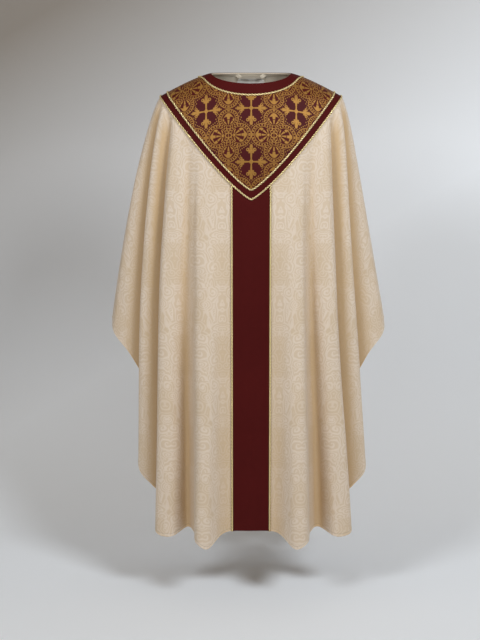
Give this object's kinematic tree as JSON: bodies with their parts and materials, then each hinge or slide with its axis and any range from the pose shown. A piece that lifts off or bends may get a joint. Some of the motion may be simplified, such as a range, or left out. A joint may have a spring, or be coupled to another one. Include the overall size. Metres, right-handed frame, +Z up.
{
  "type": "chasuble",
  "caption": "Full-length ivory damask chasuble with a gold brocade V yoke and a maroon centre column, shaped as it hangs in soft folds from the neck and shoulders.",
  "frame": {"origin": "middle of the neck opening, at the height where the shoulder ridge meets it", "axes": "+Z up, -Y towards the front of the garment, +X towards the wearer's left"},
  "size_m": [0.79, 0.4809, 1.3237],
  "materials": {
    "damask": "ivory figured damask with a soft satin lustre",
    "brocade": "gold metallic brocade on a wine ground",
    "maroon_satin": "deep maroon satin with a low sheen",
    "gold_braid": "bright twisted gold braid",
    "interfacing": "woven cotton interfacing",
    "facing": "ivory cotton sateen facing",
    "twill_tape": "cotton twill tape",
    "label": "blank woven label"
  },
  "bodies": {
    "root": {"front_panel_left": "damask", "front_panel_right": "damask", "back_panel_left": "damask", "back_panel_right": "damask", "side_seam_tape_left": "twill_tape", "side_seam_tape_right": "twill_tape", "yoke_interfacing_front": "interfacing", "yoke_interfacing_back": "interfacing", "yoke_brocade_front": "brocade", "yoke_brocade_back": "brocade", "neck_band_front": "maroon_satin", "neck_band_back": "maroon_satin", "neck_facing_front": "facing", "neck_facing_back": "facing", "neck_tape": "twill_tape", "v_border_front_left": "maroon_satin", "v_border_front_right": "maroon_satin", "v_border_back_left": "maroon_satin", "v_border_back_right": "maroon_satin", "neck_braid_front": "gold_braid", "neck_braid_back": "gold_braid", "v_inner_braid_front": "gold_braid", "v_inner_braid_back": "gold_braid", "v_outer_braid_front": "gold_braid", "v_outer_braid_back": "gold_braid", "orphrey_interfacing_front": "interfacing", "orphrey_interfacing_back": "interfacing", "orphrey_front": "maroon_satin", "orphrey_back": "maroon_satin", "orphrey_braid_front_left": "gold_braid", "orphrey_braid_front_right": "gold_braid", "orphrey_braid_back_left": "gold_braid", "orphrey_braid_back_right": "gold_braid", "hanging_loop": "twill_tape", "blank_label": "label"}
  },
  "joints": []
}
